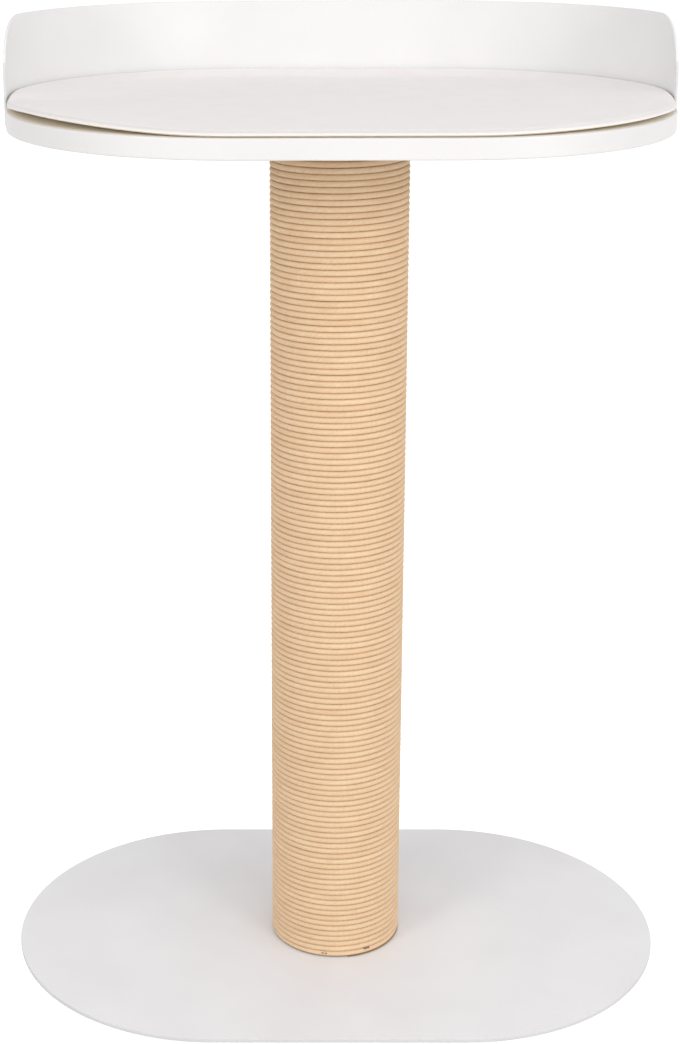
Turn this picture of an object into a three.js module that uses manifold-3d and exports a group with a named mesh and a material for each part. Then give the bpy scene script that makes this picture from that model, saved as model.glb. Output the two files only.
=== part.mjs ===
// Cat scratching post: a stadium-shaped steel base plate, a post wound with paper cord, and a
// perch board with a bent rail round its back half and a loose felt mat.
// Millimetres, +Z up. The origin is on the floor under the post's axis, and +Y is the railed back.
import * as THREE from "three";
import { mergeVertices } from "three/addons/utils/BufferGeometryUtils.js";
import Module from "manifold-3d";

const wasm = await Module();
wasm.setup();

// ---- driving dimensions ----

const CLEARANCE = 0.3; // between pieces that fit round, into or along one another

const BASE_LENGTH = 500;
const BASE_DEPTH = 316;
const PLATE_THICKNESS = 3;
const PLATE_EDGE_EASE = 0.5;

const FOOT_DIAMETER = 30;
const FOOT_THICKNESS = 1.5;
const FOOT_EDGE_INSET = 12; // from the plate's edge to the foot's

const POST_DIAMETER = 100; // over the cord
const POST_LENGTH = 636;
const CORD_DIAMETER = 4.4;
const CORD_PITCH = 4.44; // from one turn to the next along the post
const CORD_GROOVE = 1.6; // depth between two turns
const TUBE_WALL = 6;

const PLUG_HEIGHT = 30;
const PLUG_CHAMFER = 2;

const BOARD_LENGTH = 467;
const BOARD_DEPTH = 330;
const BOARD_THICKNESS = 14;
const BOARD_EDGE_EASE = 1;

const RAIL_THICKNESS = 2;
const RAIL_ABOVE_BOARD = 60;
const RAIL_CORNER_RADIUS = 44;

const MAT_THICKNESS = 4.5;
const MAT_EDGE_INSET = 1.2; // from the board's edge
const MAT_CURL_LEFT = 5.2; // how far the mat's front corners have curled up off the board
const MAT_CURL_RIGHT = 1.6;
const MAT_CURL_REACH = 150; // how far in from the mat's ends the curl starts
const MAT_CURL_FULL = 28; // how far in from them it reaches its height
const MAT_CURL_BACK = 40; // how far behind the perch's widest line it starts
const MAT_CURL_FRONT = 80; // how far in front of that line it reaches its height
const MAT_RISE = 3.7; // how far the mat's back edge has ridden up the rail
const MAT_RISE_REACH = 30; // how far in from that edge the rise starts
const MAT_RISE_FADE = 25; // how far past the rail's ends it dies out

const POST_SCREW_COUNT = 4; // at each end of the post
const POST_SCREW_CIRCLE = 52;
const POST_SCREW_DIAMETER = 5;
const POST_SCREW_HEAD_DIAMETER = 10;
const POST_SCREW_HEAD_HEIGHT = 2.6;
const POST_SCREW_GRIP = 16; // length inside the plug
const POST_SCREW_SOCKET = 3; // across the flats
const POST_SCREW_SOCKET_DEPTH = 1.8;
const POST_SCREW_TIP_ROOM = 2; // left in the plug past the screw's tip

const INSERT_DIAMETER = 8;
const INSERT_LENGTH = 12;
const INSERT_FLANGE_DIAMETER = 11;
const INSERT_FLANGE_THICKNESS = 1;

const RAIL_SCREW_COUNT = 7;
const RAIL_SCREW_END_MARGIN = 30; // from the rail's ends to the outer screws, along the rail
const RAIL_SCREW_DIAMETER = 3.5;
const RAIL_SCREW_HEAD_DIAMETER = 7;
const RAIL_SCREW_HEAD_HEIGHT = 1.6;
const RAIL_SCREW_GRIP = 16; // length inside the board
const RAIL_SCREW_CROSS_LENGTH = 4;
const RAIL_SCREW_CROSS_WIDTH = 1;
const RAIL_SCREW_CROSS_DEPTH = 1.2;

const SCREW_TIP_CHAMFER = 0.7;

// ---- how finely round things are divided ----

const OUTLINE_STEPS = 32; // along a half circle of the plate or the board
const CORNER_STEPS = 8;
const EASE_STEPS = 2;
const TUBE_SIDES = 28;
const CORD_STEPS = 14; // along one turn of the cord
const FOOT_SIDES = 20;
const SCREW_SIDES = 10;
const MAT_RINGS = [1, 0.95, 0.9, 0.82, 0.6]; // shares of the outline that divide the mat's faces
const OVERCUT = 5; // how far a cutting shape runs past what it cuts

// ---- places that follow from them ----

const PLATE_BOTTOM = FOOT_THICKNESS;
const PLATE_TOP = PLATE_BOTTOM + PLATE_THICKNESS;
const POST_TOP = PLATE_TOP + POST_LENGTH;
const BOARD_TOP = POST_TOP + BOARD_THICKNESS;
const RAIL_TOP = BOARD_TOP + RAIL_ABOVE_BOARD;
const RAIL_OUTER_RADIUS = BOARD_DEPTH / 2 + CLEARANCE + RAIL_THICKNESS;
const TUBE_DIAMETER = POST_DIAMETER - 2 * CORD_DIAMETER;
const PLUG_DIAMETER = TUBE_DIAMETER - 2 * TUBE_WALL - 2 * CLEARANCE;

const PLATE_PLACE = new THREE.Vector3(0, 0, PLATE_BOTTOM);
// The board with the rail on its back is centred over the base, so the board sits a little forward.
const PERCH_PLACE = new THREE.Vector3(0, -(CLEARANCE + RAIL_THICKNESS) / 2, POST_TOP);

// ---- materials ----

function finish(color, roughness, metalness = 0) {
  return new THREE.MeshStandardMaterial({ color, roughness, metalness });
}

const POWDER_COAT = finish("#e7e5e6", 0.55);
const FOAM = finish("#3b3b3d", 0.9);
const KRAFT_BOARD = finish("#a98a63", 0.9);
const PAPER_CORD = finish("#e6c697", 0.85);
const BEECH = finish("#c9a578", 0.7);
const ZINC = finish("#b9bcc0", 0.35, 1);
const BRASS = finish("#c8a75a", 0.4, 1);
const WHITE_LACQUER = finish("#f4f1f0", 0.4);
const WHITE_COAT = finish("#f4f1f0", 0.45);
const FELT = finish("#ebe7e4", 0.95);

// ---- solids and meshes ----

function toSolid(geometry) {
  const bare = geometry.clone();
  bare.deleteAttribute("normal");
  bare.deleteAttribute("uv");
  const merged = mergeVertices(bare, 1e-4);
  return new wasm.Manifold(
    new wasm.Mesh({
      numProp: 3,
      vertProperties: merged.attributes.position.array,
      triVerts: new Uint32Array(merged.index.array),
    }),
  );
}

function toGeometry(solid) {
  const mesh = solid.getMesh();
  const geometry = new THREE.BufferGeometry();
  geometry.setAttribute("position", new THREE.BufferAttribute(mesh.vertProperties, 3));
  geometry.setIndex(new THREE.BufferAttribute(mesh.triVerts, 1));
  geometry.computeVertexNormals();
  return geometry;
}

function part(name, geometry, material) {
  const mesh = new THREE.Mesh(geometry, material);
  mesh.name = name;
  return mesh;
}

// A profile of [radius, height] points turned round +Z.
function turned(profile, sides) {
  const points = profile.map(([radius, height]) => new THREE.Vector2(radius, height));
  return new THREE.LatheGeometry(points, sides).rotateX(Math.PI / 2);
}

function ring(innerRadius, outerRadius, bottom, top, sides) {
  const profile = [
    [innerRadius, bottom],
    [outerRadius, bottom],
    [outerRadius, top],
    [innerRadius, top],
    [innerRadius, bottom],
  ];
  return turned(profile, sides);
}

function arc(centreX, centreY, radius, from, to, steps) {
  return Array.from({ length: steps + 1 }, (_, i) => {
    const angle = from + ((to - from) * i) / steps;
    return new THREE.Vector2(
      centreX + radius * Math.cos(angle),
      centreY + radius * Math.sin(angle),
    );
  });
}

// A stadium has straight long sides and half-round ends. It is drawn anticlockwise.
function stadium(length, depth, inset = 0) {
  const radius = depth / 2 - inset;
  const centre = (length - depth) / 2;
  return [
    ...arc(centre, 0, radius, -Math.PI / 2, Math.PI / 2, OUTLINE_STEPS),
    ...arc(-centre, 0, radius, Math.PI / 2, (3 * Math.PI) / 2, OUTLINE_STEPS),
  ];
}

// A flat plate of an outline, with its edges eased, from z = 0 up.
function plate(outline, thickness, ease = 0) {
  const options = {
    depth: thickness - 2 * ease,
    bevelEnabled: ease > 0,
    bevelThickness: ease,
    bevelSize: ease,
    bevelOffset: -ease,
    bevelSegments: EASE_STEPS,
  };
  return new THREE.ExtrudeGeometry(new THREE.Shape(outline), options).translate(0, 0, ease);
}

// Points spread evenly on a circle, starting half a step from +X.
function onCircle(count, diameter) {
  return Array.from({ length: count }, (_, i) => {
    const angle = ((i + 0.5) * 2 * Math.PI) / count;
    return [(diameter / 2) * Math.cos(angle), (diameter / 2) * Math.sin(angle)];
  });
}

// ---- screws and their seats ----

// A countersunk screw or, grown by a clearance, the space that it needs.
// The head's flat top is at z = 0 and the shank points to -Z.
function countersunk(size, grown = 0) {
  const headRadius = size.headDiameter / 2 + grown;
  const shankRadius = size.diameter / 2 + grown;
  const tip = size.length + grown;
  const profile = [
    [0, -tip],
    [shankRadius - SCREW_TIP_CHAMFER, -tip],
    [shankRadius, -tip + SCREW_TIP_CHAMFER],
    [shankRadius, -size.headHeight - grown],
    [headRadius, -grown],
    [headRadius, grown],
    [0, grown],
  ];
  return turned(profile, SCREW_SIDES);
}

const BASE_SCREW = {
  diameter: POST_SCREW_DIAMETER,
  headDiameter: POST_SCREW_HEAD_DIAMETER,
  headHeight: POST_SCREW_HEAD_HEIGHT,
  length: PLATE_THICKNESS + POST_SCREW_GRIP,
};
const TRAY_SCREW = { ...BASE_SCREW, length: BOARD_THICKNESS + POST_SCREW_GRIP };
const RAIL_SCREW = {
  diameter: RAIL_SCREW_DIAMETER,
  headDiameter: RAIL_SCREW_HEAD_DIAMETER,
  headHeight: RAIL_SCREW_HEAD_HEIGHT,
  length: RAIL_THICKNESS + CLEARANCE + RAIL_SCREW_GRIP,
};

function socketScrew(size) {
  const socketRadius = POST_SCREW_SOCKET / Math.sqrt(3);
  const socket = new THREE.CylinderGeometry(
    socketRadius,
    socketRadius,
    2 * POST_SCREW_SOCKET_DEPTH,
    6,
  ).rotateX(Math.PI / 2);
  return toGeometry(toSolid(countersunk(size)).subtract(toSolid(socket)));
}

function crossScrew(size) {
  const depth = 2 * RAIL_SCREW_CROSS_DEPTH;
  const slot = new THREE.BoxGeometry(RAIL_SCREW_CROSS_LENGTH, RAIL_SCREW_CROSS_WIDTH, depth);
  const cross = toSolid(slot).add(toSolid(slot.clone().rotateZ(Math.PI / 2)));
  return toGeometry(toSolid(countersunk(size)).subtract(cross));
}

// Takes the space of each placed screw out of a solid whose own origin lies at an offset.
function drilled(solid, size, places, offset) {
  return places.reduce((left, place) => {
    const space = countersunk(size, CLEARANCE).applyMatrix4(place);
    return left.subtract(toSolid(space.translate(-offset.x, -offset.y, -offset.z)));
  }, solid);
}

// Screws up through the plate, and screws down through the board.
const UPSIDE_DOWN = new THREE.Matrix4().makeRotationX(Math.PI);
const postScrewPoints = onCircle(POST_SCREW_COUNT, POST_SCREW_CIRCLE);
const baseScrewPlaces = postScrewPoints.map(([x, y]) =>
  new THREE.Matrix4().makeTranslation(x, y, PLATE_BOTTOM).multiply(UPSIDE_DOWN),
);
const trayScrewPlaces = postScrewPoints.map(([x, y]) =>
  new THREE.Matrix4().makeTranslation(x, y, BOARD_TOP),
);

// A place on the rail's outer face, at a distance along it from the middle of the back,
// turned so that +Z points out of the face.
function onRail(distance) {
  const halfStraight = (BOARD_LENGTH - BOARD_DEPTH) / 2;
  const side = Math.sign(distance);
  const pastStraight = Math.max(0, Math.abs(distance) - halfStraight);
  const turn = pastStraight / RAIL_OUTER_RADIUS;
  const outward = new THREE.Vector3(side * Math.sin(turn), Math.cos(turn), 0);
  const x = side * Math.min(Math.abs(distance), halfStraight) + RAIL_OUTER_RADIUS * outward.x;
  const y = RAIL_OUTER_RADIUS * outward.y;
  const facing = new THREE.Quaternion().setFromUnitVectors(new THREE.Vector3(0, 0, 1), outward);
  const centre = new THREE.Vector3(x, y, BOARD_THICKNESS / 2).add(PERCH_PLACE);
  return new THREE.Matrix4().compose(centre, facing, new THREE.Vector3(1, 1, 1));
}

const railLength = BOARD_LENGTH - BOARD_DEPTH + Math.PI * RAIL_OUTER_RADIUS;
const railScrewStep = (railLength - 2 * RAIL_SCREW_END_MARGIN) / (RAIL_SCREW_COUNT - 1);
const railScrewPlaces = Array.from({ length: RAIL_SCREW_COUNT }, (_, i) =>
  onRail((i - (RAIL_SCREW_COUNT - 1) / 2) * railScrewStep),
);

function screws(name, geometry, places) {
  return places.map((place, i) => {
    const screw = part(`${name}_${i + 1}`, geometry, ZINC);
    screw.applyMatrix4(place);
    return screw;
  });
}

// ---- base ----

function basePlate() {
  const outline = stadium(BASE_LENGTH, BASE_DEPTH);
  const blank = toSolid(plate(outline, PLATE_THICKNESS, PLATE_EDGE_EASE));
  const cut = drilled(blank, BASE_SCREW, baseScrewPlaces, PLATE_PLACE);
  const mesh = part("base_plate", toGeometry(cut), POWDER_COAT);
  mesh.position.copy(PLATE_PLACE);
  return mesh;
}

// Six foam pads: one at each end of the plate and one where each straight side starts to turn.
function feet() {
  const radius = FOOT_DIAMETER / 2;
  const geometry = turned(
    [
      [0, 0],
      [radius, 0],
      [radius, FOOT_THICKNESS],
      [0, FOOT_THICKNESS],
    ],
    FOOT_SIDES,
  );
  const reach = BASE_DEPTH / 2 - FOOT_EDGE_INSET - radius;
  const endCentre = (BASE_LENGTH - BASE_DEPTH) / 2;
  const points = [-1, 1].flatMap((side) => [
    [side * (endCentre + reach), 0],
    [side * endCentre, reach],
    [side * endCentre, -reach],
  ]);
  return points.map(([x, y], i) => {
    const foot = part(`foot_${i + 1}`, geometry, FOAM);
    foot.position.set(x, y, 0);
    return foot;
  });
}

// ---- post ----

function postTube() {
  const outer = TUBE_DIAMETER / 2;
  const geometry = ring(outer - TUBE_WALL, outer, PLATE_TOP, POST_TOP, TUBE_SIDES);
  return part("post_tube", geometry, KRAFT_BOARD);
}

// The cord is one helix, rising anticlockwise seen from above. Its turns lie against each other,
// so the winding is a sleeve with one crest and one groove for each turn at the cord's own lead.
function cordWinding() {
  const bottom = PLATE_TOP + CLEARANCE;
  const top = POST_TOP - CLEARANCE;
  const crestRadius = POST_DIAMETER / 2;
  const grooveRadius = crestRadius - CORD_GROOVE;
  const spare = 2; // turns past each end plane
  const start = bottom - spare * CORD_PITCH;
  const turns = Math.ceil((top - start) / CORD_PITCH) + spare;
  const steps = turns * CORD_STEPS;
  const positions = [];
  for (let i = 0; i <= steps; i += 1) {
    const angle = (i * 2 * Math.PI) / CORD_STEPS;
    const height = start + (i * CORD_PITCH) / CORD_STEPS;
    const x = Math.cos(angle);
    const y = Math.sin(angle);
    positions.push(crestRadius * x, crestRadius * y, height);
    positions.push(grooveRadius * x, grooveRadius * y, height + CORD_PITCH / 2);
  }
  const crest = (i) => 2 * i;
  const groove = (i) => 2 * i + 1;
  const faces = [];
  for (let i = 0; i < steps; i += 1) {
    faces.push(crest(i), crest(i + 1), groove(i));
    faces.push(crest(i + 1), groove(i + 1), groove(i));
    const above = i + CORD_STEPS;
    if (above < steps) {
      faces.push(groove(i), groove(i + 1), crest(above));
      faces.push(groove(i + 1), crest(above + 1), crest(above));
    }
  }
  // The ends are closed by fans round the axis, past the planes that trim the sleeve.
  const foot = positions.length / 3;
  positions.push(0, 0, start);
  const head = foot + 1;
  positions.push(0, 0, start + turns * CORD_PITCH);
  for (let i = 0; i < CORD_STEPS; i += 1) {
    const last = steps - CORD_STEPS + i;
    faces.push(foot, crest(i + 1), crest(i));
    faces.push(head, groove(last), groove(last + 1));
  }
  faces.push(foot, groove(0), crest(CORD_STEPS));
  faces.push(foot, crest(0), groove(0));
  faces.push(head, groove(steps), crest(steps));
  faces.push(head, crest(steps), groove(steps - CORD_STEPS));

  const rod = new THREE.BufferGeometry();
  rod.setAttribute("position", new THREE.Float32BufferAttribute(positions, 3));
  rod.setIndex(faces);
  const bore = TUBE_DIAMETER / 2 + CLEARANCE;
  const sleeve = ring(bore, crestRadius + CORD_DIAMETER, bottom, top, TUBE_SIDES);
  return part("cord_winding", toGeometry(toSolid(rod).intersect(toSolid(sleeve))), PAPER_CORD);
}

// A wooden plug with its chamfer inside the tube and its flat face at the tube's end.
function plugSolid(face, inward) {
  const radius = PLUG_DIAMETER / 2;
  const inner = face + inward * PLUG_HEIGHT;
  const profile = [
    [0, face],
    [radius, face],
    [radius, inner - inward * PLUG_CHAMFER],
    [radius - PLUG_CHAMFER, inner],
    [0, inner],
  ];
  return toSolid(turned(inward > 0 ? profile : profile.reverse(), TUBE_SIDES));
}

// The pocket of an insert, open at the plug's face, with the screw's own hole under it.
function insertPocket(face, inward) {
  const flangeRadius = INSERT_FLANGE_DIAMETER / 2 + CLEARANCE;
  const bodyRadius = INSERT_DIAMETER / 2 + CLEARANCE;
  const screwRadius = POST_SCREW_DIAMETER / 2 + CLEARANCE;
  const flange = INSERT_FLANGE_THICKNESS + 2 * CLEARANCE;
  const body = INSERT_LENGTH + 2 * CLEARANCE;
  const hole = POST_SCREW_GRIP + POST_SCREW_TIP_ROOM;
  const profile = [
    [0, face - inward * OVERCUT],
    [flangeRadius, face - inward * OVERCUT],
    [flangeRadius, face + inward * flange],
    [bodyRadius, face + inward * flange],
    [bodyRadius, face + inward * body],
    [screwRadius, face + inward * body],
    [screwRadius, face + inward * hole],
    [0, face + inward * hole],
  ];
  return turned(inward > 0 ? profile : profile.reverse(), SCREW_SIDES);
}

function insertNut(face, inward) {
  const flangeRadius = INSERT_FLANGE_DIAMETER / 2;
  const bodyRadius = INSERT_DIAMETER / 2;
  const boreRadius = POST_SCREW_DIAMETER / 2 + CLEARANCE;
  const outer = face + inward * CLEARANCE;
  const profile = [
    [boreRadius, outer],
    [flangeRadius, outer],
    [flangeRadius, outer + inward * INSERT_FLANGE_THICKNESS],
    [bodyRadius, outer + inward * INSERT_FLANGE_THICKNESS],
    [bodyRadius, outer + inward * INSERT_LENGTH],
    [boreRadius, outer + inward * INSERT_LENGTH],
    [boreRadius, outer],
  ];
  return turned(inward > 0 ? profile : profile.reverse(), SCREW_SIDES);
}

function plugWithInserts(plugName, insertName, face, inward) {
  const pocket = insertPocket(face, inward);
  const drilledPlug = postScrewPoints.reduce(
    (left, [x, y]) => left.subtract(toSolid(pocket.clone().translate(x, y, 0))),
    plugSolid(face, inward),
  );
  const nut = insertNut(face, inward);
  const nuts = postScrewPoints.map(([x, y], i) => {
    const mesh = part(`${insertName}_${i + 1}`, nut, BRASS);
    mesh.position.set(x, y, 0);
    return mesh;
  });
  return [part(plugName, toGeometry(drilledPlug), BEECH), ...nuts];
}

// ---- perch ----

// The perch's outline, drawn in by an inset or, with a negative one, out.
function perchOutline(inset) {
  return stadium(BOARD_LENGTH, BOARD_DEPTH, inset);
}

function perchBoard() {
  const blank = toSolid(plate(perchOutline(0), BOARD_THICKNESS, BOARD_EDGE_EASE));
  const postDrilled = drilled(blank, TRAY_SCREW, trayScrewPlaces, PERCH_PLACE);
  const railDrilled = drilled(postDrilled, RAIL_SCREW, railScrewPlaces, PERCH_PLACE);
  const mesh = part("perch_board", toGeometry(railDrilled), WHITE_LACQUER);
  mesh.position.copy(PERCH_PLACE);
  return mesh;
}

// A strip of sheet steel bent round the edge of the board's back half. Seen from the side, its
// ends rise straight at the board's widest line and turn into its top edge with a round corner.
function rail() {
  const height = RAIL_TOP - POST_TOP;
  const outer = plate(perchOutline(-CLEARANCE - RAIL_THICKNESS), height);
  const inner = plate(perchOutline(-CLEARANCE), height + 2 * OVERCUT).translate(0, 0, -OVERCUT);
  const band = toSolid(outer).subtract(toSolid(inner));
  const corner = RAIL_CORNER_RADIUS;
  const sideView = [
    new THREE.Vector2(BOARD_DEPTH, height),
    new THREE.Vector2(BOARD_DEPTH, -OVERCUT),
    new THREE.Vector2(0, -OVERCUT),
    ...arc(corner, height - corner, corner, Math.PI, Math.PI / 2, CORNER_STEPS),
  ];
  const alongX = new THREE.Matrix4().makeBasis(
    new THREE.Vector3(0, 1, 0),
    new THREE.Vector3(0, 0, 1),
    new THREE.Vector3(1, 0, 0),
  );
  const blockLength = BOARD_LENGTH + 2 * (CLEARANCE + RAIL_THICKNESS + OVERCUT);
  const sideBlock = plate(sideView, blockLength).applyMatrix4(alongX);
  sideBlock.translate(-blockLength / 2, 0, 0);
  const trimmed = band.intersect(toSolid(sideBlock));
  const cut = drilled(trimmed, RAIL_SCREW, railScrewPlaces, PERCH_PLACE);
  const mesh = part("perch_rail", toGeometry(cut), WHITE_COAT);
  mesh.position.copy(PERCH_PLACE);
  return mesh;
}

// How far the mat has lifted off the board. It lies flat in the middle, its two front corners
// have curled up, and its back edge has ridden up the rail.
function matLift(x, y) {
  const { smoothstep } = THREE.MathUtils;
  const end = BOARD_LENGTH / 2;
  const curl = x < 0 ? MAT_CURL_LEFT : MAT_CURL_RIGHT;
  const outwards = smoothstep(Math.abs(x), end - MAT_CURL_REACH, end - MAT_CURL_FULL);
  const forwards = smoothstep(-y, -MAT_CURL_BACK, MAT_CURL_FRONT);
  const radius = BOARD_DEPTH / 2 - MAT_EDGE_INSET;
  const pastStraight = Math.max(0, Math.abs(x) - (BOARD_LENGTH - BOARD_DEPTH) / 2);
  const edgewards = smoothstep(Math.hypot(pastStraight, y), radius - MAT_RISE_REACH, radius);
  const backwards = smoothstep(y, -MAT_RISE_FADE, MAT_RISE_FADE);
  return curl * outwards * forwards + MAT_RISE * edgewards * backwards;
}

function seatMat() {
  const outline = perchOutline(MAT_EDGE_INSET);
  const count = outline.length;
  const positions = [];
  for (const level of [0, MAT_THICKNESS]) {
    for (const share of MAT_RINGS) {
      for (const point of outline) {
        const x = share * point.x;
        const y = share * point.y;
        positions.push(x, y, level + matLift(x, y));
      }
    }
    positions.push(0, 0, level);
  }
  const perLevel = MAT_RINGS.length * count + 1;
  const faces = [];
  for (let i = 0; i < count; i += 1) {
    const next = (i + 1) % count;
    for (let k = 0; k < MAT_RINGS.length - 1; k += 1) {
      const out = k * count;
      const inn = out + count;
      faces.push(out + i, inn + i, inn + next);
      faces.push(out + i, inn + next, out + next);
      faces.push(perLevel + out + i, perLevel + inn + next, perLevel + inn + i);
      faces.push(perLevel + out + i, perLevel + out + next, perLevel + inn + next);
    }
    const last = (MAT_RINGS.length - 1) * count;
    faces.push(last + i, perLevel - 1, last + next);
    faces.push(perLevel + last + i, perLevel + last + next, 2 * perLevel - 1);
    faces.push(i, next, perLevel + next);
    faces.push(i, perLevel + next, perLevel + i);
  }
  const geometry = new THREE.BufferGeometry();
  geometry.setAttribute("position", new THREE.Float32BufferAttribute(positions, 3));
  geometry.setIndex(faces);
  geometry.computeVertexNormals();
  const mesh = part("seat_mat", geometry, FELT);
  mesh.position.set(0, PERCH_PLACE.y, BOARD_TOP + CLEARANCE);
  return mesh;
}

// ---- the whole post ----

const base = new THREE.Group();
base.add(basePlate(), ...feet());
base.add(...screws("base_screw", socketScrew(BASE_SCREW), baseScrewPlaces));

const post = new THREE.Group();
post.add(postTube(), cordWinding());
post.add(...plugWithInserts("bottom_plug", "base_insert", PLATE_TOP, 1));
post.add(...plugWithInserts("top_plug", "tray_insert", POST_TOP, -1));

const perch = new THREE.Group();
perch.add(perchBoard(), rail(), seatMat());
perch.add(...screws("tray_screw", socketScrew(TRAY_SCREW), trayScrewPlaces));
perch.add(...screws("rail_screw", crossScrew(RAIL_SCREW), railScrewPlaces));

const scratchingPost = new THREE.Group();
scratchingPost.add(base, post, perch);

export default scratchingPost;
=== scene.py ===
import math
from collections import namedtuple

import bmesh
import bpy
from mathutils import Euler, Matrix, Vector, noise


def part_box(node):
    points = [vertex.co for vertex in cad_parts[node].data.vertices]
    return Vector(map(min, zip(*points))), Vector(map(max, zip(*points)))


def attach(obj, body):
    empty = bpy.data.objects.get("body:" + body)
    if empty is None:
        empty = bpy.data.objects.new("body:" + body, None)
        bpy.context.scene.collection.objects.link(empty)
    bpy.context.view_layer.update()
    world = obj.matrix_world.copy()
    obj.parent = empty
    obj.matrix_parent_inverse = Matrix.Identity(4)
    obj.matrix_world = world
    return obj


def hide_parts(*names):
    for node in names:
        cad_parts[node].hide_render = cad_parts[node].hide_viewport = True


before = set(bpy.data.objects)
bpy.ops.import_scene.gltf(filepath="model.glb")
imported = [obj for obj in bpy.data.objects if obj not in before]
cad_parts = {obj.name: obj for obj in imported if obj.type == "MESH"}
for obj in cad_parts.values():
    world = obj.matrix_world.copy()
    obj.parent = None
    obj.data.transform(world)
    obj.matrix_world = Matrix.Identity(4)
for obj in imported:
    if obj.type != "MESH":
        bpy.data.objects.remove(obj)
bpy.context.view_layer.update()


# ---- camera ----
# The eye is in front of the post, a hand's breadth left of its middle and above the perch, and
# looks down. The post isn't in the middle of the picture, so the lens is shifted.

CAMERA_PLACE = Vector((-0.0342, -1.3736, 0.8243))
CAMERA_DOWN = math.radians(17.166)
CAMERA_LEFT = math.radians(0.286)
CAMERA_ROLL = math.radians(-0.143)
LENS_MM = 66.97

camera_data = bpy.data.cameras.new("camera")
camera_data.lens = LENS_MM
camera_data.shift_x = 0.0550
camera_data.shift_y = -0.0673
camera_data.clip_start = 0.05
camera_data.clip_end = 100
camera = bpy.data.objects.new("camera", camera_data)
camera.matrix_world = (
    Matrix.Translation(CAMERA_PLACE)
    @ Matrix.Rotation(CAMERA_LEFT, 4, "Z")
    @ Matrix.Rotation(math.pi / 2 - CAMERA_DOWN, 4, "X")
    @ Matrix.Rotation(CAMERA_ROLL, 4, "Z")
)
bpy.context.scene.collection.objects.link(camera)
bpy.context.scene.camera = camera
bpy.context.scene.view_settings.view_transform = "Standard"


# ---- studio ----
# A white sweep under an even white sky, and four soft lamps in front, two of them on the right.
# They lay the tray's short shade on the post. The eye sees the sweep and the sky as plain white.

AMBIENT = 0.63  # strength of the sky's light on the object
LAMP_DISTANCE = 2.3
LAMP_AIM = Vector((0, 0, 0.35))
FLOOR_RADIUS = 15
FLOOR_SIDES = 96
FLOOR_GLOW = 0.62  # light of its own that makes the sweep plain white for the eye


def add_node(tree, kind, inputs=None, **settings):
    """Adds a node. A node given as an input links its first output, and a list links each one."""
    made = tree.nodes.new(kind)
    for name, value in settings.items():
        setattr(made, name, value)
    for key, given in (inputs or {}).items():
        if isinstance(key, int):
            socket = made.inputs[key]
        else:
            socket = next(s for s in made.inputs if s.name == key and s.enabled)
        for value in given if isinstance(given, list) else [given]:
            if isinstance(value, bpy.types.Node):
                value = next(s for s in value.outputs if s.enabled)
            if isinstance(value, bpy.types.NodeSocket):
                tree.links.new(value, socket)
            else:
                socket.default_value = value
    return made


def linear(hex_colour):
    """The linear colour, with full alpha, of an sRGB hex colour."""
    parts = [int(hex_colour[i : i + 2], 16) / 255 for i in (1, 3, 5)]
    return (*[p / 12.92 if p <= 0.04045 else ((p + 0.055) / 1.055) ** 2.4 for p in parts], 1)


def seen_share(tree):
    """1 for the eye, for a mirror image and through glass, and 0 for the light on the object."""
    path = add_node(tree, "ShaderNodeLightPath").outputs
    mirrored = add_node(
        tree,
        "ShaderNodeMath",
        {0: path["Is Glossy Ray"], 1: path["Is Transmission Ray"]},
        operation="MAXIMUM",
    )
    return add_node(
        tree, "ShaderNodeMath", {0: path["Is Camera Ray"], 1: mirrored}, operation="MAXIMUM"
    )


def lamp(name, azimuth, elevation, size, power):
    """A square soft lamp that faces the post. Azimuth goes from straight in front towards +X."""
    data = bpy.data.lights.new(name, "AREA")
    data.shape = "SQUARE"
    data.size = size
    data.energy = power
    turn = Euler((-math.radians(elevation), 0, math.radians(azimuth)))
    direction = turn.to_matrix() @ Vector((0, -1, 0))
    facing = direction.to_track_quat("Z", "Y").to_matrix().to_4x4()
    light = bpy.data.objects.new(name, data)
    light.matrix_world = Matrix.Translation(LAMP_AIM + LAMP_DISTANCE * direction) @ facing
    bpy.context.scene.collection.objects.link(light)


world = bpy.data.worlds.new("white_sky")
world.use_nodes = True
world.node_tree.nodes.clear()
sky_strength = add_node(
    world.node_tree,
    "ShaderNodeMapRange",
    {"Value": seen_share(world.node_tree), "To Min": AMBIENT, "To Max": 1.0},
)
sky = add_node(
    world.node_tree,
    "ShaderNodeBackground",
    {"Color": (1, 1, 1, 1), "Strength": sky_strength},
)
add_node(world.node_tree, "ShaderNodeOutputWorld", {"Surface": sky})
bpy.context.scene.world = world

lamp("lamp_left", azimuth=-43, elevation=20, size=0.7, power=12.8)
lamp("lamp_right", azimuth=38, elevation=20, size=0.7, power=12.6)
lamp("lamp_far_right", azimuth=65, elevation=20, size=0.7, power=5.6)
lamp("lamp_front", azimuth=0, elevation=45, size=1.3, power=7.8)

sweep = bpy.data.materials.new("white_sweep")
sweep.use_nodes = True
sweep.node_tree.nodes.clear()
sweep_glow = add_node(
    sweep.node_tree,
    "ShaderNodeMath",
    {0: seen_share(sweep.node_tree), 1: FLOOR_GLOW},
    operation="MULTIPLY",
)
sweep_light = add_node(
    sweep.node_tree, "ShaderNodeEmission", {"Color": (1, 1, 1, 1), "Strength": sweep_glow}
)
sweep_paper = add_node(sweep.node_tree, "ShaderNodeBsdfDiffuse", {"Color": linear("#e6e6e6")})
sweep_sum = add_node(sweep.node_tree, "ShaderNodeAddShader", {0: sweep_paper, 1: sweep_light})
add_node(sweep.node_tree, "ShaderNodeOutputMaterial", {"Surface": sweep_sum})

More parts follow.
